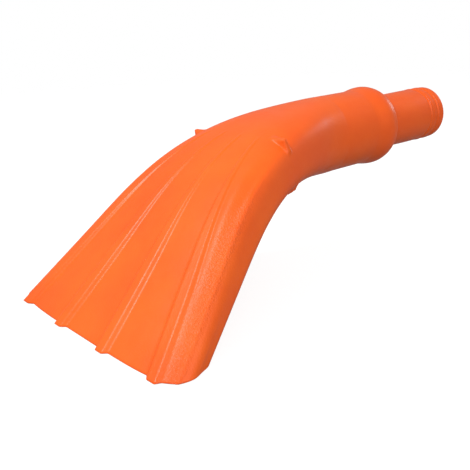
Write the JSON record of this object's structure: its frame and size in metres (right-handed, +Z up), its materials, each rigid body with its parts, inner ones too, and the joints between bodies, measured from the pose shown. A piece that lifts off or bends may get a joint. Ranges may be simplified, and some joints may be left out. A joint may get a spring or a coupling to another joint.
{
  "type": "vacuum claw nozzle",
  "caption": "Moulded wide-mouth claw nozzle with raised ribs, a bent neck, a handle barrel, and a hose spigot that swivels in the barrel's end.",
  "frame": {"origin": "under the middle of the whole nozzle, on the plane of its open mouth", "axes": "+X runs along the handle towards the hose, +Y across the claw, +Z up from the mouth plane to the ribbed face"},
  "size_m": [0.3118, 0.16, 0.1091],
  "materials": {
    "nozzle_plastic": "semi-gloss moulded, fine orange peel",
    "spigot_plastic": "semi-gloss moulded, smooth"
  },
  "bodies": {
    "nozzle": {"nozzle_body": "nozzle_plastic"},
    "spigot": {"hose_spigot": "spigot_plastic"}
  },
  "joints": [
    {"name": "hose_swivel", "type": "hinge", "parent": "nozzle", "child": "spigot", "pos_m": [0.08, 0, 0.0815], "axis": [1, 0, 0], "continuous": true}
  ]
}
